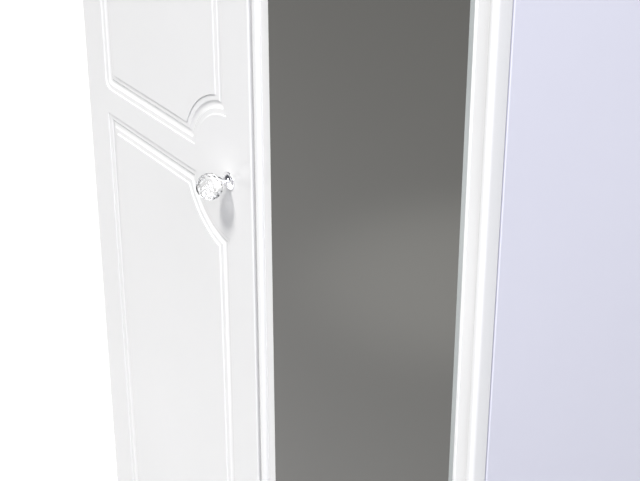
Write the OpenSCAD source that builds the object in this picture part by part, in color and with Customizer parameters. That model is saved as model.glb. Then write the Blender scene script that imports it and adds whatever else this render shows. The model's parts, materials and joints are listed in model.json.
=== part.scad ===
// Two-door wardrobe: a routed door with a crystal knob on the left and a
// full-length mirror door on the right, with hanging space and a hat shelf.
// X runs across the front, +Y runs to the back and +Z is up. The origin is on
// the floor, under the middle of the whole outline.

/* [Carcass] */
// Outside width
body_w = 740; // [700:10:800]
// Outside height
body_h = 1970; // [1900:10:2050]
// Depth from the door faces to the back edges
body_d = 530; // [500:10:600]
// Thickness of the boards
board_t = 16; // [15:1:18]
// Thickness of the hardboard back
back_t = 3; // [2.5:0.5:4]
// Height of the bottom panel's underside above the floor
floor_h = 80; // [70:1:100]
// How far the plinth stands back from the carcass edge
plinth_in = 30; // [20:1:50]
// Height of the hat shelf's underside
shelf_z = 1640; // [1600:5:1680]
// How far the hat shelf stands back from the carcass edge
shelf_in = 30; // [20:1:50]

/* [Doors] */
// Thickness of a door
door_t = 18; // [18:0.5:22]
// Gap between the two doors
door_gap = 4; // [3:0.5:5]
// Gap between a closed door and the carcass edge
back_gap = 1.6; // [1.6:0.1:3]
// Rounding of the doors' long edges
edge_r = 2; // [1.5:0.1:2.5]
// How far the doors stop short of the top and start above the bottom panel
door_reveal = 2; // [1:0.5:4]

/* [Routed panels] */
// Width of the routed groove
groove_w = 22.5; // [20:0.5:28]
// Distance from the door's edges to the groove
groove_margin = 47.5; // [40:0.5:55]
// Half height of the plain rail between the two panels
rail_half = 16; // [12:1:20]
// Radius of the plain disc left round the knob
disc_r = 73.5; // [65:0.5:80]
// Width of the flat ledge on each side of the cove
ledge_w = 6.9; // [4:0.1:8]
// Depth of the ledge
ledge_d = 1.4; // [0.8:0.1:1.6]
// Depth of the cove
cove_d = 3.4; // [3:0.1:6]
// Rounding of the upper panel's lower hinge-side corner
corner_r = 12; // [6:1:16]

/* [Mirror door] */
// Radius of the half-round bead round the mirror door
bead_r = 5.25; // [4:0.25:6]
// Distance from the door's edges to the glass
mirror_margin = 30.3; // [25:0.1:45]
// Thickness of the mirror glass
glass_t = 4; // [3:0.5:5]
// Thickness of the adhesive behind the glass
adhesive_t = 0.6; // [0.5:0.05:2]

/* [Knob] */
// Diameter of the crystal
crystal_d = 30; // [25:1:32]
// Distance from the door's face to the crystal's centre
crystal_out = 25.5; // [24:0.5:30]
// Distance from the door's free edge to the knob
knob_in = 44; // [40:1:50]
// Diameter of the chrome flange
flange_d = 20.5; // [18:0.5:22]

/* [Hinges] */
// Hinges on each door
hinge_count = 4; // [3:1:4]
// Distance from the door's ends to the outer hinges
hinge_end = 100; // [90:5:130]
// Radius of the hinge cup
cup_r = 17.5; // [17.5:0.5:17.5]
// Plain wood between the door's edge and the cup
cup_edge = 3; // [3:0.5:3]
// Radius of the hinge pin
pin_r = 1; // [1:0.1:1]

/* [Hanging rail] */
// Diameter of the rail
rail_d = 25; // [20:1:28]
// Height of the rail's centre
rail_z = 1590; // [1560:5:1590]

/* [Hidden] */

$fn = 64;
eps = 1;            // how far a cut runs past a face
slip = 0.05;        // clearance of a fastener in its hole
left = -1;
right = 1;

// Overall layout
knob_out = crystal_out + crystal_d / 2;
front_y = -(body_d + knob_out) / 2 + knob_out;
back_y = (body_d + knob_out) / 2;
door_back_y = front_y + door_t;
case_y = door_back_y + back_gap;
case_d = back_y - case_y;
glide_h = 3;
side_r = 1.5;                           // rounding of the sides' front outer edges
inner_w = body_w - 2 * board_t;
groove_back = 4;                        // rebate depth behind the boards
board_back_y = back_y - groove_back;
rebate_w = 8;

// Doors
door_w = (body_w - door_gap) / 2;
door_z = floor_h + door_reveal;
door_h = body_h - door_reveal - door_z;
knob_z = door_z + door_h / 2;
slab_t = door_t - bead_r;               // the mirror door's board behind the bead
adhesive_out = 2;                       // how far the adhesive shows past the glass
adhesive_w = 22;
min_round = 0.01;                       // smallest corner radius of a groove outline

// Hinge: one pin near the door's edge, inside the cup. u runs inwards from the
// door's hinge edge and v from its back face towards the front
cup_u = cup_edge + cup_r;
cup_depth = 11.1;
cup_spare = 0.1;                        // recess deeper than the cup by this much
cup_wall = 0.4;
flange_t = 0.8;
flange_w = 2;                           // flange beyond the cup's wall
flange_cut = 1;                         // flange cut back from the cup's edge side
pin_u = 6.2;
pin_v = 8.6;
pin_half = 8.2;
lug_z = 4.5;                            // inner faces of the lugs that hold the pin
lug_end = 9;
lug_clear = 0.5;                        // how far the lugs stand past the pin's eye
pin_slip = 0.02;
eye_r = 1.8;
neck_w = 7;
arm_w = 14;
arm_t = 2;
arm_u = 18.5;
arm_back = 58;
arm_front = 6;                          // how far the arm's strip stops behind the door
arm_body_t = 4;
arm_body_front = 14;
arm_body_w = 11;
drill_line = 37;                        // row of plate screws behind the board's edge
plate_v = -back_gap - drill_line;
plate_t = arm_u - board_t;
plate_foot = 36;
plate_half_z = 24;
plate_hole_z = 16;
wing_r = 7;                             // rounded ends that take the screws
fix_back = 8;                           // arm screw behind the plate screws
cup_screw_len = 10;
cup_hole_z = 24;
cup_hole_u = cup_u + 9.5;
screw_r = 2;
screw_head_r = 3.6;
screw_head_h = 1.4;
screw_len = 12;
hinge_zs = [for (i = [0:hinge_count - 1])
  door_z + hinge_end + i * (door_h - 2 * hinge_end) / (hinge_count - 1)];

// Board joints: cam bolts and dowels along each end of a level board
joint_zs = [floor_h + board_t / 2, shelf_z + board_t / 2, body_h - board_t / 2];
cam_edge = 60;                          // from the carcass's front and back edges
dowel_edge = 92;
cam_vs = [-back_gap - cam_edge, -back_gap - case_d + cam_edge];
dowel_vs = [-back_gap - dowel_edge, -back_gap - case_d + dowel_edge];
hole_spare = 0.5;                       // a blind hole is this much deeper than needed
cam_r = 7.5;
cam_h = 12;
cam_slot_w = 3;
cam_slot_rim = 2;
cam_in = 34;
cam_bolt_r = 3.4;
cam_thread_r = 2.5;
cam_thread_len = 11;
dowel_r = 4;
dowel_deep = 10;
dowel_len = 30;

// Plinth, back rail and back
plinth_y = case_y + plinth_in;
plinth_dowel_zs = [23, 45];
back_rail_h = 70;
back_rail_z = 960;
rail_dowel_in = 18;
rail_dowel_zs = [back_rail_z + rail_dowel_in, back_rail_z + back_rail_h - rail_dowel_in];
block = 30;                             // size of a corner block
block_wall = 4;
block_drop = 1;                         // open underside of a corner block
leaf_gap = 3;
leaf_slip = 0.5;                        // clearance of a leaf in its rebate
strip_w = 22;
strip_t = 0.9;
nail_r = 1;
nail_head_r = 2.5;
nail_head_t = 0.8;
nail_pitch = 150;
back_z0 = floor_h + 2;
back_z1 = body_h - 6;

// Hanging rail
rail_y = case_y + case_d / 2;
rail_wall = 1.2;
socket_t = 3;
socket_depth = 14;
socket_r = 24;
socket_screw_z = 19.5;
socket_wall = 2;
rail_clear = 0.3;

// Knob
seat_out = 12.5;                        // where the crystal's flat seat meets the base
seat_t = 1;                             // straight rim under the crystal
seat_cone = 1.5;                        // cone from the neck out to that rim
base_rim = 1.5;                         // flange edge on the door
base_neck_r = 4.5;
base_flare_r = flange_d / 2 - base_neck_r - 0.8;
seat_r = sqrt(pow(crystal_d / 2, 2) - pow(crystal_out - seat_out, 2));
knob_screw_r = 2;
knob_slip = 0.2;                        // clearance of that screw through the door
knob_screw_len = 10;
knob_head_h = 2.2;

// Glides
glide_r = 7;
glide_round = 1;                        // bevel at a glide's foot
glide_nail_r = 1.2;
glide_nail_len = 12;
glide_edge = 40;
glide_vs = [-back_gap - glide_edge, -back_gap - case_d + glide_edge];
plinth_glide_x = 200;

bumper_r = 4;
bumper_clear = 0.3;                     // free gap left in front of the carcass
bumper_t = back_gap - bumper_clear;
bumper_in = 26;

// Local x runs inwards from a side's outer face, y out of the front from the
// doors' back faces, and z is the height
module hinge_space(hand) {
  translate([hand * body_w / 2, door_back_y, 0])
    mirror([0, 1, 0])
      mirror([hand > 0 ? 1 : 0, 0, 0])
        children();
}

// Local x runs from the left door edge at door_x, y out of the front and z up
// from the door's lower edge
module door_space(door_x) {
  translate([door_x, door_back_y, door_z]) mirror([0, 1, 0]) children();
}

module rod_x(r, len) {
  rotate([0, 90, 0]) cylinder(r = r, h = len);
}

module rod_y(r, len) {
  rotate([-90, 0, 0]) cylinder(r = r, h = len);
}

// Plan section of a door, with four rounded corners
module door_section(w, t, r) {
  translate([r, 0]) square([w - 2 * r, t]);
  translate([0, r]) square([w, t - 2 * r]);
  for (x = [r, w - r], y = [r, t - r]) translate([x, y]) circle(r);
}

// A level or upright board between the two sides
module board(y0, depth, z0, height) {
  translate([-inner_w / 2, y0, z0]) cube([inner_w, depth, height]);
}

// Holes for the cam discs, cam bolts and dowels in a level board
module board_joint_holes(z) {
  for (hand = [left, right]) hinge_space(hand) {
    for (v = cam_vs) {
      translate([board_t + cam_in, v, z - board_t / 2 - eps])
        cylinder(r = cam_r + slip, h = cam_h + hole_spare + eps);
      translate([board_t - eps, v, z]) rod_x(cam_bolt_r + slip, cam_in + eps);
    }
    for (v = dowel_vs) translate([board_t - eps, v, z])
      rod_x(dowel_r + slip, dowel_len - dowel_deep + hole_spare + eps);
  }
}

module level_board(y0, depth, z0) {
  difference() {
    board(y0, depth, z0, board_t);
    board_joint_holes(z0 + board_t / 2);
  }
}

// Side panel, drilled for every fitting that is fixed to it
module side_panel(hand) {
  color("#e6e6ee") hinge_space(hand) difference() {
    translate([0, -back_gap - case_d, glide_h]) linear_extrude(body_h - glide_h)
      side_section();
    translate([board_t - rebate_w, -back_gap - case_d - eps, glide_h - eps])
      cube([rebate_w + eps, groove_back + eps, body_h]);
    for (z = joint_zs) {
      for (v = cam_vs) translate([board_t - cam_thread_len, v, z])
        rod_x(cam_thread_r + slip, cam_thread_len + eps);
      for (v = dowel_vs) translate([board_t - dowel_deep - hole_spare, v, z])
        rod_x(dowel_r + slip, dowel_deep + hole_spare + eps);
    }
    side_dowel_holes(plinth_v(), plinth_dowel_zs);
    side_dowel_holes(back_rail_v(), rail_dowel_zs);
    for (z = hinge_zs, s = [-1, 1])
      translate([board_t - screw_len, plate_v, z + s * plate_hole_z])
        rod_x(screw_r + slip, screw_len + eps);
    for (s = [-1, 1])
      translate([board_t - screw_len, rail_v(), rail_z + s * socket_screw_z])
        rod_x(screw_r + slip, screw_len + eps);
    translate([board_t - screw_len, block_v(), block_z()])
      rod_x(screw_r + slip, screw_len + eps);
    for (v = glide_vs) translate([board_t / 2, v, glide_h - eps])
      cylinder(r = glide_nail_r + slip, h = glide_nail_len + eps);
  }
}

// Plan section of a side, with its front outer edge rounded
module side_section() {
  square([board_t, case_d - side_r]);
  translate([side_r, 0]) square([board_t - side_r, case_d]);
  translate([side_r, case_d - side_r]) circle(side_r);
}

function plinth_v() = door_back_y - plinth_y - board_t / 2;
function back_rail_v() = door_back_y - board_back_y + board_t / 2;
function rail_v() = door_back_y - rail_y;
function block_v() = door_back_y - plinth_y - board_t - block / 2;
function block_z() = floor_h - block / 2;

module side_dowel_holes(v, zs) {
  for (z = zs) translate([board_t - dowel_deep - hole_spare, v, z])
    rod_x(dowel_r + slip, dowel_deep + hole_spare + eps);
}

module end_dowel_holes(v, zs) {
  for (hand = [left, right]) hinge_space(hand)
    for (z = zs) translate([board_t - eps, v, z])
      rod_x(dowel_r + slip, dowel_len - dowel_deep + hole_spare + eps);
}

module top_panel() {
  color("#e6e6ee") level_board(case_y, board_back_y - case_y, body_h - board_t);
}

module bottom_panel() {
  color("#e6e6ee") level_board(case_y, board_back_y - case_y, floor_h);
}

module hat_shelf() {
  color("#e6e6ee")
    level_board(case_y + shelf_in, board_back_y - case_y - shelf_in, shelf_z);
}

module plinth() {
  color("#e6e6ee") difference() {
    board(plinth_y, board_t, glide_h, floor_h - glide_h);
    end_dowel_holes(plinth_v(), plinth_dowel_zs);
    for (s = [-1, 1]) {
      translate([s * plinth_glide_x, plinth_y + board_t / 2, glide_h - eps])
        cylinder(r = glide_nail_r + slip, h = glide_nail_len + eps);
      translate([s * (inner_w / 2 - block / 2), plinth_y + board_t - screw_len, block_z()])
        rod_y(screw_r + slip, screw_len + eps);
    }
  }
}

module back_rail() {
  color("#e6e6ee") difference() {
    board(board_back_y - board_t, board_t, back_rail_z, back_rail_h);
    end_dowel_holes(back_rail_v(), rail_dowel_zs);
  }
}

// Where the nails go: [x, z] along the boards' back edges
nail_xs = [for (i = [-2:2]) if (i != 0) i * nail_pitch - sign(i) * nail_pitch / 3];
nail_zs = [floor_h + board_t / 2, back_rail_z + back_rail_h / 2,
  shelf_z + board_t / 2, body_h - board_t / 2];

module at_nails() {
  for (x = nail_xs, z = nail_zs) translate([x, 0, z]) children();
}

module back_leaf(hand) {
  leaf_w = (inner_w + 2 * rebate_w - leaf_gap) / 2 - leaf_slip;
  leaf_x = hand > 0 ? leaf_gap / 2 : -leaf_gap / 2 - leaf_w;
  color("#d9d4c8") difference() {
    translate([leaf_x, board_back_y, back_z0]) cube([leaf_w, back_t, back_z1 - back_z0]);
    at_nails() translate([0, board_back_y - eps, 0]) rod_y(nail_r + slip, back_t + 2 * eps);
  }
}

// T-shaped plastic strip that closes the gap between the two leaves
module back_joint_strip() {
  color("#f2f2f2") {
    translate([-strip_w / 2, board_back_y + back_t, back_z0])
      cube([strip_w, strip_t, back_z1 - back_z0]);
    translate([-leaf_gap / 2, board_back_y, back_z0])
      cube([leaf_gap, back_t, back_z1 - back_z0]);
  }
}

module back_nails() {
  color("silver") at_nails() {
    translate([0, board_back_y + back_t, 0]) rod_y(nail_head_r, nail_head_t);
    translate([0, board_back_y, 0]) rod_y(nail_r, back_t);
  }
}

// Hanging rail: a round tube that drops into an open-topped socket at each end
module hanging_rail() {
  len = inner_w - 2 * (socket_t + rail_clear);
  color("silver") translate([-len / 2, rail_y, rail_z]) difference() {
    rod_x(rail_d / 2, len);
    translate([-eps, 0, 0]) rod_x(rail_d / 2 - rail_wall, len + 2 * eps);
  }
}

module rail_socket(hand) {
  color("gainsboro") hinge_space(hand) translate([board_t, rail_v(), rail_z])
    difference() {
      union() {
        rod_x(socket_r, socket_t);
        rod_x(rail_d / 2 + rail_clear + socket_wall, socket_depth);
      }
      translate([socket_t, 0, 0]) rod_x(rail_d / 2 + rail_clear, socket_depth);
      translate([socket_t, -rail_d / 2 - rail_clear, 0])
        cube([socket_depth, rail_d + 2 * rail_clear, socket_r]);
      for (s = [-1, 1]) translate([-eps, 0, s * socket_screw_z])
        rod_x(screw_r + slip, socket_t + 2 * eps);
    }
}

// A wood screw along x: its head at x = 0 and beyond, its shank behind
module screw_x(shank) {
  rod_x(screw_head_r, screw_head_h);
  translate([-shank, 0, 0]) rod_x(screw_r, shank);
}

module rail_screws() {
  color("silver") for (hand = [left, right], s = [-1, 1]) hinge_space(hand)
    translate([board_t + socket_t, rail_v(), rail_z + s * socket_screw_z])
      screw_x(socket_t + screw_len - eps);
}

module cam_discs() {
  color("silver") for (hand = [left, right], z = joint_zs, v = cam_vs) hinge_space(hand)
    translate([board_t + cam_in, v, z - board_t / 2]) difference() {
      cylinder(r = cam_r, h = cam_h);
      translate([-cam_slot_w / 2, -cam_r + cam_slot_rim, -eps])
        cube([cam_slot_w, 2 * (cam_r - cam_slot_rim), cam_slot_w + eps]);
      translate([-cam_r - eps, 0, board_t / 2])
        rod_x(cam_bolt_r + slip, cam_r + eps);
    }
}

module cam_bolts() {
  color("silver") for (hand = [left, right], z = joint_zs, v = cam_vs) hinge_space(hand)
    translate([board_t, v, z]) {
      rod_x(cam_bolt_r, cam_in - hole_spare);
      translate([hole_spare - cam_thread_len, 0, 0])
        rod_x(cam_thread_r, cam_thread_len - hole_spare);
    }
}

module dowels() {
  color("burlywood") for (hand = [left, right]) hinge_space(hand) {
    for (z = joint_zs, v = dowel_vs) dowel(v, z);
    for (z = plinth_dowel_zs) dowel(plinth_v(), z);
    for (z = rail_dowel_zs) dowel(back_rail_v(), z);
  }
}

module dowel(v, z) {
  translate([board_t - dowel_deep, v, z]) rod_x(dowel_r, dowel_len);
}

// Plastic corner blocks behind the plinth
module plinth_blocks() {
  color("whitesmoke") for (hand = [left, right]) hinge_space(hand)
    translate([board_t, block_v() - block / 2, block_z() - block / 2])
      difference() {
        cube([block, block, block - block_drop]);
        translate([block_wall, -eps, -eps])
          cube([block, block - block_wall + eps, block - block_wall]);
        translate([-eps, block / 2, block / 2])
          rod_x(screw_r + slip, block_wall + 2 * eps);
        translate([block / 2, block - block_wall - eps, block / 2])
          rod_y(screw_r + slip, block_wall + 2 * eps);
      }
}

module block_screws() {
  color("silver") for (hand = [left, right]) hinge_space(hand) {
    translate([board_t + block_wall, block_v(), block_z()])
      screw_x(block_wall + screw_len - eps);
    translate([board_t + block / 2, block_v() + block / 2 - block_wall, block_z()])
      rotate([0, 0, -90]) screw_x(block_wall + screw_len - eps);
  }
}

module glide() {
  cylinder(r1 = glide_r - glide_round, r2 = glide_r, h = glide_round);
  translate([0, 0, glide_round]) cylinder(r = glide_r, h = glide_h - glide_round);
  translate([0, 0, glide_h]) cylinder(r = glide_nail_r, h = glide_nail_len - hole_spare);
}

module floor_glides() {
  color("white") {
    for (hand = [left, right]) hinge_space(hand)
      for (v = glide_vs) translate([board_t / 2, v, 0]) glide();
    for (s = [-1, 1])
      translate([s * plinth_glide_x, plinth_y + board_t / 2, 0]) glide();
  }
}

// Mounting plate: a foot with two wings, screwed to the side
module hinge_plate(hand, i) {
  color("silver") hinge_space(hand) translate([board_t, plate_v, hinge_zs[i - 1]])
    difference() {
      union() {
        translate([0, -plate_foot / 2, -arm_w / 2 - 1]) cube([plate_t, plate_foot, arm_w + 2]);
        translate([0, -wing_r, wing_r - plate_half_z])
          cube([plate_t, 2 * wing_r, 2 * (plate_half_z - wing_r)]);
        for (s = [-1, 1]) translate([0, 0, s * (plate_half_z - wing_r)])
          rod_x(wing_r, plate_t);
      }
      for (s = [-1, 1]) translate([-eps, 0, s * plate_hole_z])
        rod_x(screw_r + slip, plate_t + 2 * eps);
      translate([-eps, -fix_back, 0]) rod_x(screw_r + slip, plate_t + 2 * eps);
    }
}

// Arm: a body on the plate and a neck that reaches over the door's edge strip
// to an eye on the pin
module hinge_arm(hand, i) {
  color("silver") hinge_space(hand) translate([0, 0, hinge_zs[i - 1]]) difference() {
    union() {
      translate([0, 0, -neck_w / 2]) linear_extrude(neck_w) arm_outline();
      translate([arm_u, -arm_back, -arm_w / 2]) cube([arm_t, arm_back - arm_front, arm_w]);
      translate([arm_u, -arm_back, -arm_body_w / 2])
        cube([arm_body_t, arm_back - arm_body_front, arm_body_w]);
    }
    translate([arm_u - eps, plate_v - fix_back, 0])
      rod_x(screw_r + slip, arm_body_t + 2 * eps);
    translate([arm_u + arm_t, plate_v - fix_back, 0]) rod_x(screw_head_r + 0.4, arm_body_t);
  }
}

module arm_outline() {
  difference() {
    union() {
      translate([pin_u, pin_v]) circle(eye_r);
      translate([pin_u, pin_v]) square([arm_u - pin_u + arm_t, eye_r]);
      translate([arm_u, -arm_back]) square([arm_t, arm_back + pin_v + eye_r]);
    }
    translate([pin_u, pin_v]) circle(pin_r + slip);
  }
}

// Cup: a pressed steel cup with a flange, two screw ears and two lugs that
// hold the ends of the pin
module hinge_cup(hand, i) {
  color("silver") hinge_space(hand) translate([0, 0, hinge_zs[i - 1]]) difference() {
    union() {
      difference() {
        union() {
          translate([cup_u, 0, 0]) rod_y(cup_r, cup_depth);
          rotate([90, 0, 0]) linear_extrude(flange_t) cup_flange();
        }
        translate([cup_u, -flange_t - eps, 0])
          rod_y(cup_r - cup_wall, cup_depth + flange_t + eps - cup_wall);
      }
      intersection() {
        translate([cup_u, pin_v - eye_r - lug_clear, 0])
          rod_y(cup_r - cup_wall / 2, cup_depth - pin_v + eye_r + lug_clear - cup_wall / 2);
        for (s = [-1, 1])
          translate([cup_edge, 0, s * (lug_z + lug_end) / 2 - (lug_end - lug_z) / 2])
            cube([pin_u - cup_edge + eye_r, cup_depth, lug_end - lug_z]);
      }
    }
    translate([pin_u, pin_v, -pin_half - 0.2])
      cylinder(r = pin_r + pin_slip, h = 2 * pin_half + 0.4);
    for (s = [-1, 1]) translate([cup_hole_u, -flange_t - eps, s * cup_hole_z])
      rod_y(screw_r + slip, flange_t + 2 * eps);
  }
}

module cup_flange() {
  intersection() {
    translate([cup_u, 0]) circle(cup_r + flange_w);
    translate([cup_edge + flange_cut, -cup_r - 2 * flange_w]) square(2 * cup_r + 4 * flange_w);
  }
  translate([cup_hole_u - wing_r, -cup_hole_z]) square([2 * wing_r, 2 * cup_hole_z]);
  for (s = [-1, 1]) translate([cup_hole_u, s * cup_hole_z]) circle(wing_r);
}

module hinge_pins(hand) {
  color("dimgray") hinge_space(hand) for (z = hinge_zs)
    translate([pin_u, pin_v, z - pin_half]) cylinder(r = pin_r, h = 2 * pin_half);
}

module cup_screws(hand) {
  color("silver") hinge_space(hand) for (z = hinge_zs, s = [-1, 1])
    translate([cup_hole_u, 0, z + s * cup_hole_z]) {
      translate([0, -flange_t - screw_head_h, 0]) rod_y(screw_head_r, screw_head_h);
      translate([0, -flange_t, 0]) rod_y(screw_r, flange_t + cup_screw_len - eps);
    }
}

module hinge_screws() {
  color("silver") for (hand = [left, right], z = hinge_zs) hinge_space(hand) {
    for (s = [-1, 1]) translate([arm_u, plate_v, z + s * plate_hole_z])
      screw_x(plate_t + screw_len - eps);
    translate([arm_u + arm_t, plate_v - fix_back, z]) screw_x(arm_t + plate_t);
  }
}

module door_bumpers(hand) {
  color("white") hinge_space(hand)
    for (z = [floor_h + board_t / 2, body_h - board_t / 2])
      translate([door_w - bumper_in, -bumper_t, z]) rod_y(bumper_r, bumper_t);
}

// Holes in a door's back for its hinge cups and their screws
module door_hinge_holes(hand) {
  hinge_space(hand) for (z = hinge_zs) {
    translate([cup_u, -eps, z]) rod_y(cup_r + slip, cup_depth + cup_spare + eps);
    for (s = [-1, 1]) translate([cup_hole_u, -eps, z + s * cup_hole_z])
      rod_y(screw_r + slip, cup_screw_len + eps);
  }
}

// Outline of one routed panel, drawn from the knob's centre: a rectangle with
// the disc round the knob cut out of it, and every edge moved in by inset
module panel_outline(inset, round_r) {
  x0 = knob_in - door_w + groove_margin + inset;
  x1 = knob_in - groove_margin - inset;
  z0 = rail_half + inset;
  z1 = door_h / 2 - groove_margin - inset;
  r = max(round_r - inset, min_round);
  difference() {
    translate([x0, z0]) square([x1 - x0, z1 - z0]);
    circle(disc_r + inset, $fn = 128);
    if (round_r > inset) translate([x0, z0]) difference() {
      translate([-eps, -eps]) square(r + eps);
      translate([r, r]) circle(r);
    }
  }
}

module groove_ring(from, to, round_r) {
  difference() {
    panel_outline(from, round_r);
    panel_outline(to, round_r);
  }
}

// One routed groove, cut from eps in front of the door's face: two ledges and
// the deeper cove between them
module groove_cut(round_r) {
  rotate([90, 0, 0]) linear_extrude(ledge_d + eps) groove_ring(0, groove_w, round_r);
  rotate([90, 0, 0]) linear_extrude(cove_d + eps)
    groove_ring(ledge_w, groove_w - ledge_w, round_r);
}

module left_door_panel() {
  color("white") difference() {
    door_space(-body_w / 2) linear_extrude(door_h) door_section(door_w, door_t, edge_r);
    door_space(-body_w / 2) translate([door_w - knob_in, door_t + eps, door_h / 2]) {
      groove_cut(corner_r);
      mirror([0, 0, 1]) groove_cut(0);
    }
    translate([knob_x(), door_back_y + eps, knob_z])
      rotate([90, 0, 0]) cylinder(r = knob_screw_r + knob_slip, h = door_t + 2 * eps);
    door_hinge_holes(left);
  }
}

function knob_x() = -body_w / 2 + door_w - knob_in;

module mirror_door_panel() {
  color("white") difference() {
    door_space(body_w / 2 - door_w) {
      linear_extrude(door_h) intersection() {
        door_section(door_w, 2 * door_t, edge_r);
        square([door_w, slab_t]);
      }
      for (x = [bead_r, door_w - bead_r]) translate([x, slab_t, bead_r])
        cylinder(r = bead_r, h = door_h - 2 * bead_r);
      for (z = [bead_r, door_h - bead_r]) translate([bead_r, slab_t, z])
        rod_x(bead_r, door_w - 2 * bead_r);
      for (x = [bead_r, door_w - bead_r], z = [bead_r, door_h - bead_r])
        translate([x, slab_t, z]) sphere(bead_r);
    }
    door_hinge_holes(right);
  }
}

module mirror_glass() {
  color("dimgray") door_space(body_w / 2 - door_w)
    translate([mirror_margin, slab_t + adhesive_t, mirror_margin])
      cube([door_w - 2 * mirror_margin, glass_t, door_h - 2 * mirror_margin]);
}

// Adhesive bed: a frame under the glass's rim that shows as a thin bead round it
module mirror_adhesive() {
  bed_w = door_w - 2 * (mirror_margin - adhesive_out);
  bed_h = door_h - 2 * (mirror_margin - adhesive_out);
  color("white") door_space(body_w / 2 - door_w)
    translate([mirror_margin - adhesive_out, slab_t, mirror_margin - adhesive_out])
      difference() {
        cube([bed_w, adhesive_t, bed_h]);
        translate([adhesive_w, -eps, adhesive_w])
          cube([bed_w - 2 * adhesive_w, adhesive_t + 2 * eps, bed_h - 2 * adhesive_w]);
      }
}

// Knob pieces are drawn along +Z from the door's face
module on_knob() {
  translate([knob_x(), front_y, knob_z]) rotate([90, 0, 0]) children();
}

module knob_base() {
  neck_h = seat_out - seat_t - seat_cone;
  color("silver") on_knob() difference() {
    union() {
      cylinder(d = flange_d, h = base_rim);
      translate([0, 0, base_rim]) rotate_extrude() difference() {
        square([base_neck_r + base_flare_r, base_flare_r]);
        translate([base_neck_r + base_flare_r, base_flare_r]) circle(base_flare_r);
      }
      cylinder(r = base_neck_r, h = neck_h);
      translate([0, 0, neck_h]) cylinder(r1 = base_neck_r, r2 = seat_r, h = seat_cone);
      translate([0, 0, neck_h + seat_cone]) cylinder(r = seat_r, h = seat_t);
    }
    translate([0, 0, -eps])
      cylinder(r = knob_screw_r + slip, h = knob_screw_len + hole_spare + eps);
  }
}

module knob_crystal() {
  color("aliceblue") on_knob() difference() {
    translate([0, 0, crystal_out]) sphere(d = crystal_d);
    translate([0, 0, seat_out - crystal_d]) cylinder(d = crystal_d, h = crystal_d);
  }
}

module knob_screw() {
  color("silver") on_knob() {
    translate([0, 0, -door_t - knob_head_h]) cylinder(r = 2 * knob_screw_r, h = knob_head_h);
    translate([0, 0, -door_t]) cylinder(r = knob_screw_r, h = door_t + knob_screw_len);
  }
}

side_panel(left);  // side_left
side_panel(right);  // side_right
top_panel();
bottom_panel();
hat_shelf();
plinth();
back_rail();
back_leaf(left);  // back_panel_left
back_leaf(right);  // back_panel_right
back_joint_strip();
back_nails();
hanging_rail();
rail_socket(left);  // rail_socket_left
rail_socket(right);  // rail_socket_right
rail_screws();
cam_discs();
cam_bolts();
dowels();
plinth_blocks();
block_screws();
floor_glides();
hinge_screws();
for (i = [1:hinge_count]) {
  hinge_plate(left, i);
  hinge_arm(left, i);
  hinge_cup(left, i);
  hinge_plate(right, i);
  hinge_arm(right, i);
  hinge_cup(right, i);
}
hinge_pins(left);  // left_hinge_pins
cup_screws(left);  // left_cup_screws
door_bumpers(left);  // left_door_bumpers
left_door_panel();
knob_base();
knob_crystal();
knob_screw();
hinge_pins(right);  // right_hinge_pins
cup_screws(right);  // right_cup_screws
door_bumpers(right);  // right_door_bumpers
mirror_door_panel();
mirror_glass();
mirror_adhesive();
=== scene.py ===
import json
from math import acos, asin, cos, pi, radians, sin, sqrt, tau

import bmesh
import bpy
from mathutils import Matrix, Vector
from mathutils.geometry import delaunay_2d_cdt


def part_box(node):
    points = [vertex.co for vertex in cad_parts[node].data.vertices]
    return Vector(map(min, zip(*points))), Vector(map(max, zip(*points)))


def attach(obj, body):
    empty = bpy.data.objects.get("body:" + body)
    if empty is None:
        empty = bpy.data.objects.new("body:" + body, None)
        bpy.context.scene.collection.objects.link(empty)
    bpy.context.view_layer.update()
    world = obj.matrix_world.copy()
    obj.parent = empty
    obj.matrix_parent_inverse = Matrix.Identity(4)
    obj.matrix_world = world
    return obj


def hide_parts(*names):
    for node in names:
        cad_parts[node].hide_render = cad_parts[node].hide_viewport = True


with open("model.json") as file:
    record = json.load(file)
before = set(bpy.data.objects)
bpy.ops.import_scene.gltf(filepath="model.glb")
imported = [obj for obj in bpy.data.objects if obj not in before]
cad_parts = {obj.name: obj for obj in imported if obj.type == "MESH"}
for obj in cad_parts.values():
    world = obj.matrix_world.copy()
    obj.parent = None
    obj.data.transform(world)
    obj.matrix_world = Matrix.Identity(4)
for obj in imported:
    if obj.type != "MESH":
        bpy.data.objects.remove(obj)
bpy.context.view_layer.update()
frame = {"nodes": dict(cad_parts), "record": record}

MM = 0.001
NODES = frame["nodes"]

# ---------------------------------------------------------------- layout
# Door coordinates, in millimetres: x from a door's left edge, z from its lower
# edge and v out of the front from its back face.

LEFT_LOW, LEFT_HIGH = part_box("left_door_panel")
RIGHT_LOW, RIGHT_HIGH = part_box("mirror_door_panel")
GLASS_LOW, GLASS_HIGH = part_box("mirror_glass")
FLANGE_LOW, FLANGE_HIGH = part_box("knob_base")

DOOR_W = (LEFT_HIGH.x - LEFT_LOW.x) / MM
DOOR_H = (LEFT_HIGH.z - LEFT_LOW.z) / MM
DOOR_T = (LEFT_HIGH.y - LEFT_LOW.y) / MM
KNOB = (FLANGE_LOW + FLANGE_HIGH) / 2
KNOB.y = LEFT_LOW.y
KNOB_IN = (LEFT_HIGH.x - KNOB.x) / MM
BALL_LOW, BALL_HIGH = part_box("knob_crystal")
BED_LOW, BED_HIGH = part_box("mirror_adhesive")

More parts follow.
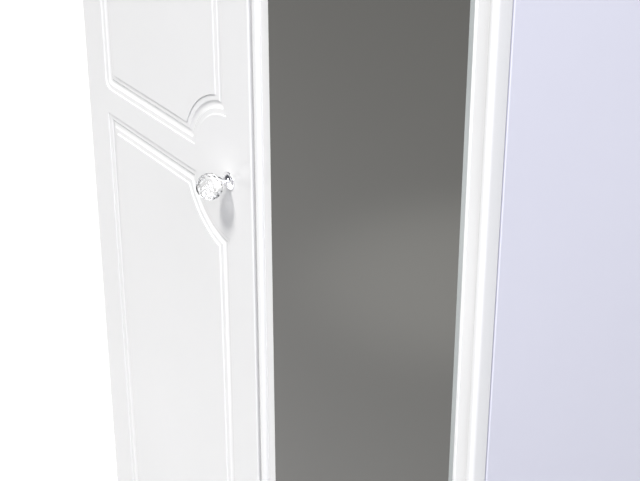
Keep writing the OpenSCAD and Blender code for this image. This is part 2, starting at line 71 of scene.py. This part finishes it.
EDGE_R = 2.0            # rounding of the doors' front edges
BACK_R = 0.6            # easing of their back edges
GROOVE_W = 22.5         # width of the routed groove
GROOVE_MARGIN = 47.5    # from the door's edge to the groove
RAIL_HALF = 16.0        # half height of the plain rail between the panels
DISC_R = 73.5           # plain disc round the knob
LEDGE_W = 6.9           # flat ledge on each side of the cove
LEDGE_D = 1.4           # depth of the ledges
COVE_D = 3.4            # depth of the cove
LIP_R = 0.6             # rounding where the face turns into the groove
LIP_TURN = pi * 4 / 9   # how far that rounding turns before the step's foot
CORNER_R = 12.0         # upper panel's lower hinge-side corner
BEAD_R = 5.25           # half-round bead round the mirror door
QUIRK_D = 0.9           # shallow dip of the field beside the bead
QUIRK_W = 15.0          # from the door's edge to where the dip ends
HINGES = range(1, 5)    # hinge numbers on each door
CUP_R = 17.5            # radius of a hinge cup
CUP_SPARE = 0.1         # room in front of a cup in its recess
BEVEL_W = 2.4           # ground and polished bevel of the glass
ARRIS = 0.3             # small chamfer at the glass's back edge
BED_W = 22.0            # width of the adhesive frame behind the glass
HOLD = 0.6              # flat strip beside a rounding, which keeps the shading of the flat even
EASE = 0.05             # small step that softens a corner


def door_point(low, x, v, z):
    """A point in door coordinates as a point of the row frame, in metres."""
    return Vector((low.x + x * MM, low.y + (DOOR_T - v) * MM, low.z + z * MM))


# ---------------------------------------------------------------- materials

def new_material(name):
    material = bpy.data.materials.new(name)
    material.use_nodes = True
    tree = material.node_tree
    shader = tree.nodes["Principled BSDF"]
    return material, tree, shader


def set_shader(shader, **values):
    for key, value in values.items():
        shader.inputs[key.replace("_", " ")].default_value = value


def noise(tree, scale, detail=2.0, stretch=(1, 1, 1), roughness=0.5):
    """Noise in the object's own metres, stretched along an axis for grain."""
    coord = tree.nodes.new("ShaderNodeTexCoord")
    mapping = tree.nodes.new("ShaderNodeMapping")
    mapping.inputs["Scale"].default_value = stretch
    texture = tree.nodes.new("ShaderNodeTexNoise")
    texture.inputs["Scale"].default_value = scale
    texture.inputs["Detail"].default_value = detail
    texture.inputs["Roughness"].default_value = roughness
    tree.links.new(coord.outputs["Object"], mapping.inputs["Vector"])
    tree.links.new(mapping.outputs["Vector"], texture.inputs["Vector"])
    return texture.outputs["Fac"]


def ramp(tree, source, low, high, start=0.3, stop=0.7):
    """A colour ramp from low to high between start and stop."""
    node = tree.nodes.new("ShaderNodeValToRGB")
    first, last = node.color_ramp.elements
    first.position, last.position = start, stop
    first.color, last.color = low, high
    tree.links.new(source, node.inputs["Fac"])
    return node.outputs["Color"]


def spread(tree, source, low, high, start=0.3, stop=0.7):
    """A number from low to high between start and stop."""
    node = tree.nodes.new("ShaderNodeMapRange")
    node.inputs["From Min"].default_value = start
    node.inputs["From Max"].default_value = stop
    node.inputs["To Min"].default_value = low
    node.inputs["To Max"].default_value = high
    tree.links.new(source, node.inputs["Value"])
    return node.outputs["Result"]


def bump(tree, shader, source, distance, strength=1.0, under=None):
    node = tree.nodes.new("ShaderNodeBump")
    node.inputs["Distance"].default_value = distance
    node.inputs["Strength"].default_value = strength
    tree.links.new(source, node.inputs["Height"])
    if under is not None:
        tree.links.new(under, node.inputs["Normal"])
    tree.links.new(node.outputs["Normal"], shader.inputs["Normal"])
    return node.outputs["Normal"]


def grey(value, tint=(1, 1, 1)):
    return (value * tint[0], value * tint[1], value * tint[2], 1.0)


def door_lacquer():
    """High-gloss white foil over milled fibreboard: a faint orange peel."""
    material, tree, shader = new_material("door_gloss_white")
    set_shader(shader, Roughness=0.16, Specular_IOR_Level=0.5, Coat_Weight=0.35, Coat_Roughness=0.05)
    tone = noise(tree, 3.0, 3.0)
    colour = ramp(tree, tone, grey(0.80), grey(0.835, (1, 1, 1.002)))
    tree.links.new(colour, shader.inputs["Base Color"])
    wear = noise(tree, 40.0, 4.0)
    tree.links.new(spread(tree, wear, 0.12, 0.2), shader.inputs["Roughness"])
    peel = noise(tree, 260.0, 1.0)
    bump(tree, shader, peel, 0.00004, 0.25)
    return material


def melamine():
    """White melamine board with a painted blue shade in its colour, standing in for the bluish light on
    the shaded side panel: a satin face with a fine pebbled texture.
    """
    material, tree, shader = new_material("carcass_melamine_painted_blue_shade")
    set_shader(shader, Roughness=0.42, Specular_IOR_Level=0.4)
    tone = noise(tree, 2.2, 3.0)
    # Painted shade: the blue cast stands in for bluish light falling on the shaded side. The noise is
    # random tone.
    colour = ramp(tree, tone, (0.735, 0.735, 0.83, 1), (0.765, 0.765, 0.86, 1))
    tree.links.new(colour, shader.inputs["Base Color"])
    tree.links.new(spread(tree, noise(tree, 60.0, 3.0), 0.36, 0.48), shader.inputs["Roughness"])
    bump(tree, shader, noise(tree, 1400.0, 2.0), 0.00003, 0.35)
    return material


def hardboard():
    """Thin hardboard: painted white inside, raw brown with flecks outside."""
    material, tree, shader = new_material("hardboard_back")
    set_shader(shader, Roughness=0.7, Specular_IOR_Level=0.3)
    fibres = noise(tree, 90.0, 6.0, (1, 1, 2.2), 0.7)
    brown = ramp(tree, fibres, (0.20, 0.115, 0.060, 1), (0.40, 0.26, 0.150, 1), 0.25, 0.75)
    white = ramp(tree, noise(tree, 5.0, 2.0), grey(0.74), grey(0.79))
    coord = tree.nodes.new("ShaderNodeTexCoord")
    axes = tree.nodes.new("ShaderNodeSeparateXYZ")
    tree.links.new(coord.outputs["Normal"], axes.inputs["Vector"])
    faces_room = spread(tree, axes.outputs["Y"], 1.0, 0.0, -0.6, -0.5)
    mix = tree.nodes.new("ShaderNodeMix")
    mix.data_type = "RGBA"
    tree.links.new(faces_room, mix.inputs[0])
    tree.links.new(brown, mix.inputs[6])
    tree.links.new(white, mix.inputs[7])
    tree.links.new(mix.outputs[2], shader.inputs["Base Color"])
    bump(tree, shader, noise(tree, 700.0, 4.0), 0.0001, 0.5)
    return material


def metal(name, low, high, rough, brushed=(1, 1, 1), scale=120.0, depth=0.00001):
    material, tree, shader = new_material(name)
    set_shader(shader, Metallic=1.0)
    tone = noise(tree, scale, 3.0, brushed)
    tree.links.new(ramp(tree, tone, low, high), shader.inputs["Base Color"])
    tree.links.new(spread(tree, tone, rough * 0.8, rough * 1.25), shader.inputs["Roughness"])
    bump(tree, shader, noise(tree, scale * 4, 2.0, brushed), depth, 0.4)
    return material


def plastic(name, low, high, rough, scale=70.0):
    material, tree, shader = new_material(name)
    set_shader(shader, Specular_IOR_Level=0.45)
    tree.links.new(ramp(tree, noise(tree, scale, 2.0), low, high), shader.inputs["Base Color"])
    tree.links.new(spread(tree, noise(tree, scale * 2, 2.0), rough * 0.85, rough * 1.15),
                   shader.inputs["Roughness"])
    bump(tree, shader, noise(tree, scale * 14, 2.0), 0.00003, 0.3)
    return material


def beech():
    material, tree, shader = new_material("beech_dowel")
    set_shader(shader, Roughness=0.6)
    grain = noise(tree, 220.0, 4.0, (0.12, 1, 1))
    colour = ramp(tree, grain, (0.42, 0.25, 0.13, 1), (0.62, 0.42, 0.24, 1))
    tree.links.new(colour, shader.inputs["Base Color"])
    bump(tree, shader, grain, 0.00008, 0.5)
    return material


def crystal():
    """Clear cut crystal with the faintest unevenness of polish."""
    material, tree, shader = new_material("cut_crystal")
    set_shader(shader, Base_Color=(1, 1, 1, 1), Transmission_Weight=1.0, IOR=1.54, Roughness=0.0)
    bump(tree, shader, noise(tree, 160.0, 1.0), 0.000004, 0.2)
    return material


def mirror_silver_painted_dark():
    """Silvered glass with painted shade: its colour is far darker and warmer than silver, standing in for
    the dim room it reflects.
    """
    material, tree, shader = new_material("mirror_silver_painted_dark")
    set_shader(shader, Metallic=1.0, Roughness=0.06)
    # Painted shade: dark, warm silver in place of a dim reflected room. The faint noise paints unevenness
    # into the reflection's brightness.
    tone = noise(tree, 1.6, 1.0)
    colour = ramp(tree, tone, (0.113, 0.112, 0.107, 1), (0.124, 0.123, 0.117, 1))
    tree.links.new(colour, shader.inputs["Base Color"])
    return material


def glass_edge():
    """The ground and polished edge of the mirror glass."""
    material, tree, shader = new_material("mirror_glass_edge")
    set_shader(shader, Roughness=0.2, Specular_IOR_Level=0.6)
    colour = ramp(tree, noise(tree, 50.0, 2.0, (1, 1, 0.1)), (0.30, 0.32, 0.312, 1), (0.38, 0.40, 0.39, 1))
    tree.links.new(colour, shader.inputs["Base Color"])
    bump(tree, shader, noise(tree, 900.0, 2.0, (1, 1, 0.2)), 0.00002, 0.4)
    return material


def rubber():
    material, tree, shader = new_material("clear_soft_pad")
    set_shader(shader, Roughness=0.25, Transmission_Weight=0.5, IOR=1.45)
    tree.links.new(ramp(tree, noise(tree, 300.0), grey(0.80), grey(0.88)), shader.inputs["Base Color"])
    return material


MATERIALS = {
    "door_lacquer": door_lacquer(),
    "carcass_board": melamine(),
    "hardboard": hardboard(),
    "chrome": metal("polished_chrome", grey(0.74, (1, 1, 1.03)), grey(0.82, (1, 1, 1.02)), 0.05),
    "hinge_steel": metal("nickel_plate", grey(0.50), grey(0.60, (1.02, 1, 0.97)), 0.26),
    "zinc_steel": metal("zinc_plate", grey(0.50, (0.97, 1, 1.06)), grey(0.62), 0.34, scale=300.0),
    "white_plastic": plastic("white_plastic", grey(0.70), grey(0.76), 0.45),
    "beech": beech(),
    "crystal": crystal(),
    "mirror_glass": mirror_silver_painted_dark(),
    "white_sealant": plastic("white_sealant", grey(0.80), grey(0.86), 0.35, 90.0),
    "clear_rubber": rubber(),
}
GLASS_EDGE = glass_edge()


# ---------------------------------------------------------------- mesh tools

class Shell:
    """Collects the points and faces of one closed piece."""

    def __init__(self):
        self.mesh = bmesh.new()

    def ring(self, points):
        return [self.mesh.verts.new(p) for p in points]

    def band(self, first, second, material=0):
        """Joins two closed rings of the same length with quads."""
        count = len(first)
        for i in range(count):
            j = (i + 1) % count
            face = self.mesh.faces.new((first[i], first[j], second[j], second[i]))
            face.material_index = material

    def fill(self, outline, holes, to_2d, material=0):
        """Closes a flat outline, leaving its holes open."""
        rings = [outline] + holes
        corners = [v for ring in rings for v in ring]
        flat = [Vector(to_2d(v.co)) for v in corners]
        edges, polygons, at = [], [], 0
        for ring in rings:
            index = list(range(at, at + len(ring)))
            edges += list(zip(index, index[1:] + index[:1]))
            polygons.append([flat[i] for i in index])
            at += len(ring)
        points, _, faces, sources, _, _ = delaunay_2d_cdt(flat, edges, [], 0, 1e-9)
        for face in faces:
            middle = sum((points[i] for i in face), Vector((0, 0))) / len(face)
            if not inside(middle, polygons[0]) or any(inside(middle, p) for p in polygons[1:]):
                continue
            new = self.mesh.faces.new([corners[sources[i][0]] for i in face])
            new.material_index = material

    def finish(self, name, materials, sharp=radians(38)):
        bmesh.ops.remove_doubles(self.mesh, verts=self.mesh.verts, dist=1e-7)
        bmesh.ops.dissolve_degenerate(self.mesh, edges=self.mesh.edges, dist=1e-8)
        bmesh.ops.recalc_face_normals(self.mesh, faces=self.mesh.faces)
        data = bpy.data.meshes.new(name)
        self.mesh.to_mesh(data)
        self.mesh.free()
        for material in materials:
            data.materials.append(material)
        data.polygons.foreach_set("use_smooth", [True] * len(data.polygons))
        data.set_sharp_from_angle(angle=sharp)
        piece = bpy.data.objects.new(name, data)
        bpy.context.scene.collection.objects.link(piece)
        return piece


def inside(point, polygon):
    """Whether a 2-D point lies inside a polygon."""
    crossings = False
    for a, b in zip(polygon, polygon[1:] + polygon[:1]):
        if (a.y > point.y) != (b.y > point.y):
            if point.x < (b.x - a.x) * (point.y - a.y) / (b.y - a.y) + a.x:
                crossings = not crossings
    return crossings


def arc(radius, start, stop, count):
    """Points of an arc about the origin, both ends included."""
    return [(radius * cos(start + (stop - start) * i / count),
             radius * sin(start + (stop - start) * i / count)) for i in range(count + 1)]


def place(piece, body, slot, *nodes):
    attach(piece, body)
    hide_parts(*nodes)
    return piece


# ---------------------------------------------------------------- doors

def rectangle(inset, v, low, width=DOOR_W, height=DOOR_H):
    """The corners of a door or pane, moved in by inset."""
    right, top = width - inset, height - inset
    corners = ((inset, inset), (right, inset), (right, top), (inset, top))
    return [door_point(low, x, v, z) for x, z in corners]


def quarter(radius, v0, turn, count=6):
    """(inset, v) points of a rounded edge, from the door's side to its face."""
    points = []
    for i in range(count + 1):
        a = pi / 2 * i / count
        points.append((radius * (1 - cos(a)), v0 + turn * radius * sin(a)))
    return points


def door_plane(co):
    """A point's place in the plane of the doors."""
    return (co.x, co.z)


def hinge_holes(shell, low, side):
    """Cup recesses in a door's back face, and the rings at their mouths."""
    mouths = []
    for i in HINGES:
        cup_low, cup_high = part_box(f"{side}_hinge_cup_{i}")
        x = (cup_low.x - low.x) / MM + CUP_R
        if side == "right":
            x = (cup_high.x - low.x) / MM - CUP_R
        z = ((cup_low.z + cup_high.z) / 2 - low.z) / MM
        deep = (LEFT_HIGH.y - cup_low.y) / MM + CUP_SPARE
        circle = arc(CUP_R, 0, tau, 48)[:-1]
        rings = []
        for v in (0.0, deep):
            rings.append(shell.ring([door_point(low, x + a, v, z + b) for a, b in circle]))
        shell.band(rings[0], rings[1])
        shell.fill(rings[1], [], door_plane)
        mouths.append(rings[0])
    return mouths


def groove_profile():
    """(inset, depth) across a routed groove: step, ledge, cove, ledge, step."""
    half = [(-HOLD, 0.0)]
    lip_steps = 4
    for i in range(lip_steps + 1):
        a = LIP_TURN * i / lip_steps
        half.append((LIP_R * sin(a), LIP_R * (1 - cos(a))))
    foot = LIP_R + EASE
    half += [(foot, LEDGE_D - 0.12), (foot + 0.1, LEDGE_D - 0.03), (foot + 0.25, LEDGE_D)]
    half += [(foot + HOLD, LEDGE_D), (LEDGE_W - HOLD, LEDGE_D), (LEDGE_W - 0.3, LEDGE_D)]
    half += [(LEDGE_W - EASE, LEDGE_D + 0.08)]
    chord = GROOVE_W / 2 - LEDGE_W
    sag = COVE_D - LEDGE_D
    radius = (chord ** 2 + sag ** 2) / (2 * sag)
    swing = asin(chord / radius)
    cove_steps = 10
    for i in range(1, cove_steps):
        a = swing * (1 - i / cove_steps)
        half.append((GROOVE_W / 2 - radius * sin(a), COVE_D - radius * (1 - cos(a))))
    return half + [(GROOVE_W / 2, COVE_D)] + [(GROOVE_W - x, d) for x, d in reversed(half)]


def panel_outline(inset, corner):
    """One panel's outline moved in by inset, in millimetres from the knob."""
    x0 = KNOB_IN - DOOR_W + GROOVE_MARGIN + inset
    x1 = KNOB_IN - GROOVE_MARGIN - inset
    z0 = RAIL_HALF + inset
    z1 = DOOR_H / 2 - GROOVE_MARGIN - inset
    radius = DISC_R + inset
    round_r = max(corner - inset, 0.0)
    points = [(x0 + round_r + a, z0 + round_r + b) for a, b in arc(round_r, pi, 1.5 * pi, 10)]
    points += arc(radius, pi - asin(z0 / radius), acos(x1 / radius), 72)
    points += [(x1, z1), (x0, z1)]
    return points


def cut_panel(shell, low, upper):
    """Mills one groove and fills the raised field inside it; returns the outer ring."""
    turn = 1 if upper else -1
    knob_x, knob_z = DOOR_W - KNOB_IN, DOOR_H / 2
    rings = []
    for inset, depth in groove_profile():
        outline = panel_outline(inset, CORNER_R if upper else 0.0)
        rings.append(shell.ring([door_point(low, knob_x + x, DOOR_T - depth, knob_z + turn * z)
                                 for x, z in outline]))
    for first, second in zip(rings, rings[1:]):
        shell.band(first, second)
    shell.fill(rings[-1], [], door_plane)
    return rings[0]


def back_edge():
    """(inset, v) points from a door's back face round to its side."""
    return [(BACK_R + HOLD, 0.0)] + quarter(BACK_R, BACK_R, -1)[::-1]


def left_door():
    """The routed door: rounded edges, two milled panels and the cup recesses."""
    shell = Shell()
    low = LEFT_LOW
    profile = back_edge() + quarter(EDGE_R, DOOR_T - EDGE_R, 1)
    profile += [(EDGE_R + HOLD, DOOR_T)]
    rings = [shell.ring(rectangle(inset, v, low)) for inset, v in profile]
    for first, second in zip(rings, rings[1:]):
        shell.band(first, second)
    shell.fill(rings[-1], [cut_panel(shell, low, True), cut_panel(shell, low, False)], door_plane)
    shell.fill(rings[0], hinge_holes(shell, low, "left"), door_plane)
    piece = shell.finish("left_door_routed", [MATERIALS["door_lacquer"]])
    return place(piece, "left_door", "door_lacquer", "left_door_panel")


def mirror_door():
    """The beaded door: a sunken field inside a half-round bead."""
    shell = Shell()
    low = Vector((RIGHT_LOW.x, RIGHT_HIGH.y - DOOR_T * MM, RIGHT_LOW.z))
    slab = DOOR_T - BEAD_R
    profile = back_edge()
    under = asin(QUIRK_D / BEAD_R)
    bead_steps = 26
    for i in range(bead_steps + 1):
        a = (pi + under) * i / bead_steps
        profile.append((BEAD_R * (1 - cos(a)), slab + BEAD_R * sin(a)))
    profile += [(2 * BEAD_R + 0.3, slab - QUIRK_D), (QUIRK_W - HOLD, slab - EASE)]
    profile += [(QUIRK_W, slab), (QUIRK_W + HOLD, slab)]
    rings = [shell.ring(rectangle(inset, v, low)) for inset, v in profile]
    for first, second in zip(rings, rings[1:]):
        shell.band(first, second)
    shell.fill(rings[-1], [], door_plane)
    shell.fill(rings[0], hinge_holes(shell, low, "right"), door_plane)
    piece = shell.finish("mirror_door_beaded", [MATERIALS["door_lacquer"]])
    return place(piece, "mirror_door", "door_lacquer", "mirror_door_panel")


def pane_frame(low_corner, high_corner):
    """Door-coordinate origin, width and height of a pane that lies on the door."""
    low = Vector((low_corner.x, high_corner.y - DOOR_T * MM, low_corner.z))
    return low, (high_corner.x - low_corner.x) / MM, (high_corner.z - low_corner.z) / MM


def mirror():
    """The glass: a silvered face inside a narrow ground and polished bevel."""
    shell = Shell()
    low, width, height = pane_frame(GLASS_LOW, GLASS_HIGH)
    thick = (GLASS_HIGH.y - GLASS_LOW.y) / MM
    upright = 0.9       # height where the edge turns into the bevel
    profile = [(ARRIS, 0.0), (0.0, ARRIS), (0.0, upright)]
    profile += [(BEVEL_W - 0.25, thick - 0.12), (BEVEL_W, thick)]
    rings = [shell.ring(rectangle(inset, v, low, width, height)) for inset, v in profile]
    for first, second in zip(rings, rings[1:]):
        shell.band(first, second, 1)
    shell.fill(rings[0], [], door_plane, 1)
    shell.fill(rings[-1], [], door_plane, 0)
    piece = shell.finish("mirror_glass_pane", [MATERIALS["mirror_glass"], GLASS_EDGE], radians(20))
    return place(piece, "mirror_door", "mirror_glass", "mirror_glass")


def sealant():
    """White adhesive under the glass's rim, with a hand-run fillet round it."""
    shell = Shell()
    low, width, height = pane_frame(BED_LOW, BED_HIGH)
    out = (GLASS_LOW.x - BED_LOW.x) / MM
    bed = (BED_HIGH.y - BED_LOW.y) / MM
    crest = 1.5         # height of the fillet where it meets the glass's edge
    profile = [(0.0, 0.0), (0.1, 0.35), (0.45, 0.75), (1.0, 1.1), (out - 0.35, crest - EASE), (out, crest)]
    profile += [(out, bed), (BED_W, bed), (BED_W, 0.0)]
    rings = [shell.ring(rectangle(inset, v, low, width, height)) for inset, v in profile]
    for first, second in zip(rings, rings[1:] + rings[:1]):
        shell.band(first, second)
    piece = shell.finish("mirror_sealant_bed", [MATERIALS["white_sealant"]], radians(45))
    return place(piece, "mirror_door", "white_sealant", "mirror_adhesive")


# ---------------------------------------------------------------- knob

def knob_point(out, radius, angle):
    """A point out from the door's face, at a radius and an angle about the knob's axis."""
    return KNOB + Vector((radius * cos(angle), -out, radius * sin(angle))) * MM


def knob_flare():
    """Chrome base: a domed flange, a trumpet neck and a beaded seat."""
    outer = (FLANGE_HIGH.x - FLANGE_LOW.x) / 2 / MM
    tall = (FLANGE_HIGH.y - FLANGE_LOW.y) / MM
    neck, seat = 4.5, 7.4           # radii of the neck and of the crystal's seat
    flange = 1.6                    # thickness of the flange
    rim = outer - 0.8               # radius where the neck's sweep leaves it
    sweep = tall - 3.2 - flange     # length of that sweep
    sweep_steps = 12
    profile = [(0.0, outer - 0.3), (0.3, outer), (1.0, outer), (1.4, outer - 0.25), (flange, rim)]
    for i in range(1, sweep_steps + 1):
        a = pi / 2 * i / sweep_steps
        profile.append((flange + sweep * (1 - cos(a)), neck + (rim - neck) * (1 - sin(a))))
    profile += [(tall - 2.9, neck + 0.1), (tall - 2.4, neck + 0.9), (tall - 2.1, neck + 1.6)]
    profile += [(tall - 1.9, seat - 0.6), (tall - 1.5, seat - 0.1), (tall - 1.0, seat)]
    profile += [(tall - 0.5, seat - 0.1), (tall - 0.2, seat - 0.5), (tall, seat - 1.1)]
    shell = Shell()
    steps = 64
    rings = [shell.ring([knob_point(out, r, tau * i / steps) for i in range(steps)]) for out, r in profile]
    for first, second in zip(rings, rings[1:]):
        shell.band(first, second)
    for ring in (rings[0], rings[-1]):
        shell.fill(ring, [], door_plane)
    piece = shell.finish("knob_chrome_flare", [MATERIALS["chrome"]], radians(50))
    return place(piece, "left_door", "chrome", "knob_base")


def cut_ball():
    """Crystal: rings of points on a ball, joined by flat facets."""
    radius = (BALL_HIGH.x - BALL_LOW.x) / 2 / MM
    centre = (KNOB.y - BALL_LOW.y) / MM - radius
    seat = (KNOB.y - BALL_HIGH.y) / MM
    seat_r = sqrt(radius ** 2 - (centre - seat) ** 2) - 0.2
    seat_points = 16
    # each ring: degrees from the crystal's front, number of points, share of a step it is turned by
    rows = ((20, 8, 0), (43, 8, 0.5), (64, 16, 0.25), (86, 16, 0.75), (108, 16, 0.25), (130, 8, 0.5))
    mesh = bmesh.new()
    for polar, count, shift in rows:
        tilt = radians(polar)
        for i in range(count):
            turn = tau * (i + shift) / count
            mesh.verts.new(knob_point(centre + radius * cos(tilt), radius * sin(tilt), turn))
    for i in range(seat_points):
        mesh.verts.new(knob_point(seat, seat_r, tau * i / seat_points))
    hull = bmesh.ops.convex_hull(mesh, input=mesh.verts)
    bmesh.ops.delete(mesh, geom=hull["geom_interior"], context="VERTS")
    bmesh.ops.dissolve_limit(mesh, angle_limit=radians(1), verts=mesh.verts, edges=mesh.edges)
    bmesh.ops.recalc_face_normals(mesh, faces=mesh.faces)
    data = bpy.data.meshes.new("knob_cut_crystal")
    mesh.to_mesh(data)
    mesh.free()
    data.materials.append(MATERIALS["crystal"])
    piece = bpy.data.objects.new("knob_cut_crystal", data)
    bpy.context.scene.collection.objects.link(piece)
    return place(piece, "left_door", "crystal", "knob_crystal")


# ---------------------------------------------------------------- CAD nodes

def finish_cad_nodes():
    """Gives each CAD node that stays its material, and eases its sharp edges."""
    slots = {row["node"]: row["material_slot"] for row in frame["record"]["subparts"]}
    eased = {"carcass_board": 0.0005, "hinge_steel": 0.0002}
    for name, node in NODES.items():
        if node.hide_render:
            continue
        node.data.materials.clear()
        node.data.materials.append(MATERIALS[slots[name]])
        if slots[name] in eased:
            bevel = node.modifiers.new("eased_edges", "BEVEL")
            bevel.width = eased[slots[name]]
            bevel.segments = 2
            bevel.limit_method = "ANGLE"
            bevel.angle_limit = radians(40)
            bevel.harden_normals = True


# ---------------------------------------------------------------- stage

def add_area(name, direction, distance, size, power, colour):
    """A soft panel that faces the middle of the doors from a direction."""
    data = bpy.data.lights.new(name, "AREA")
    data.shape = "RECTANGLE"
    data.size, data.size_y = size
    data.energy = power
    data.color = colour
    light = bpy.data.objects.new(name, data)
    away = Vector(direction).normalized()
    light.location = KNOB + away * distance
    light.rotation_euler = away.to_track_quat("Z", "Y").to_euler()
    light.visible_camera = False
    bpy.context.scene.collection.objects.link(light)
    return light


def add_pool(name, source, target, cone, power, colour):
    """A soft round pool of light on the floor, for the mirror to reflect."""
    data = bpy.data.lights.new(name, "SPOT")
    data.energy = power
    data.color = colour
    data.spot_size = radians(cone)
    data.spot_blend = 1.0
    data.shadow_soft_size = 0.1
    light = bpy.data.objects.new(name, data)
    light.location = source
    light.rotation_euler = (Vector(source) - Vector(target)).to_track_quat("Z", "Y").to_euler()
    bpy.context.scene.collection.objects.link(light)


def soft_sky():
    """A pale glow along the horizon under a dim, slightly blue sky."""
    world = bpy.data.worlds.new("studio")
    world.use_nodes = True
    tree = world.node_tree
    coord = tree.nodes.new("ShaderNodeTexCoord")
    axes = tree.nodes.new("ShaderNodeSeparateXYZ")
    shade = tree.nodes.new("ShaderNodeValToRGB")
    tree.links.new(coord.outputs["Generated"], axes.inputs["Vector"])
    tree.links.new(axes.outputs["Z"], shade.inputs["Fac"])
    dim, pale = (0.12, 0.123, 0.134, 1), (0.93, 0.94, 0.96, 1)
    horizon, glow_top, sky = 0.001, 0.12, 0.36      # heights of a direction
    stops = shade.color_ramp.elements
    stops[0].position, stops[0].color = 0.0, dim
    stops[1].position, stops[1].color = sky, dim
    for position in (horizon, glow_top):
        stops.new(position).color = pale
    tree.links.new(shade.outputs["Color"], tree.nodes["Background"].inputs["Color"])
    bpy.context.scene.world = world


def studio_floor():
    """A wide pale floor, hidden from diffuse rays so that it lights nothing from below."""
    shell = Shell()
    reach = 400.0
    corners = ((-reach, -reach), (reach, -reach), (reach, reach), (-reach, reach))
    shell.mesh.faces.new(shell.ring([Vector((x, y, 0)) for x, y in corners]))
    material, tree, shader = new_material("studio_floor")
    set_shader(shader, Base_Color=(0.92, 0.92, 0.92, 1), Roughness=0.7, Specular_IOR_Level=0.2)
    floor = shell.finish("studio_floor", [material])
    floor.visible_diffuse = False


def add_key(direction, strength, angle, colour):
    """The main light: a soft sun from above, in front and a little to the right."""
    data = bpy.data.lights.new("key", "SUN")
    data.energy = strength
    data.angle = angle
    data.color = colour
    light = bpy.data.objects.new("key", data)
    light.rotation_euler = Vector(direction).to_track_quat("Z", "Y").to_euler()
    bpy.context.scene.collection.objects.link(light)


def studio():
    studio_floor()
    soft_sky()
    add_key((0.142, -0.508, 0.849), 3.3, radians(13), (1.0, 0.985, 0.955))
    add_area("fill_right", (0.72, -0.33, 0.61), 3.5, (2.0, 2.5), 98.0, (0.93, 0.94, 1.0))
    add_area("fill_back", (-0.6, 0.75, 0.3), 4.0, (3.0, 3.0), 75.0, (1.0, 1.0, 1.0))
    add_pool("floor_patch", (-1.2, 0.35, 6.0), (-1.10, -1.56, 0.0), 9.0, 720.0, (1.0, 0.985, 0.95))


def camera():
    """A long lens from above and to the right, aimed past the knob."""
    stand = Vector((1.3350, -0.8238, 0.7558))       # from the knob, in metres
    turn, pitch = radians(54.73), radians(27.91)
    data = bpy.data.cameras.new("camera")
    data.sensor_width = 36.0
    data.lens = 90.0
    data.clip_end = 2000.0
    cam = bpy.data.objects.new("camera", data)
    cam.location = KNOB + stand
    forward = Vector((-sin(turn) * cos(pitch), cos(turn) * cos(pitch), -sin(pitch)))
    cam.rotation_euler = forward.to_track_quat("-Z", "Y").to_euler()
    bpy.context.scene.collection.objects.link(cam)
    bpy.context.scene.camera = cam


camera()
left_door()
mirror_door()
mirror()
sealant()
knob_flare()
cut_ball()
finish_cad_nodes()
studio()
bpy.context.scene.view_settings.view_transform = "Standard"

bpy.context.view_layer.update()
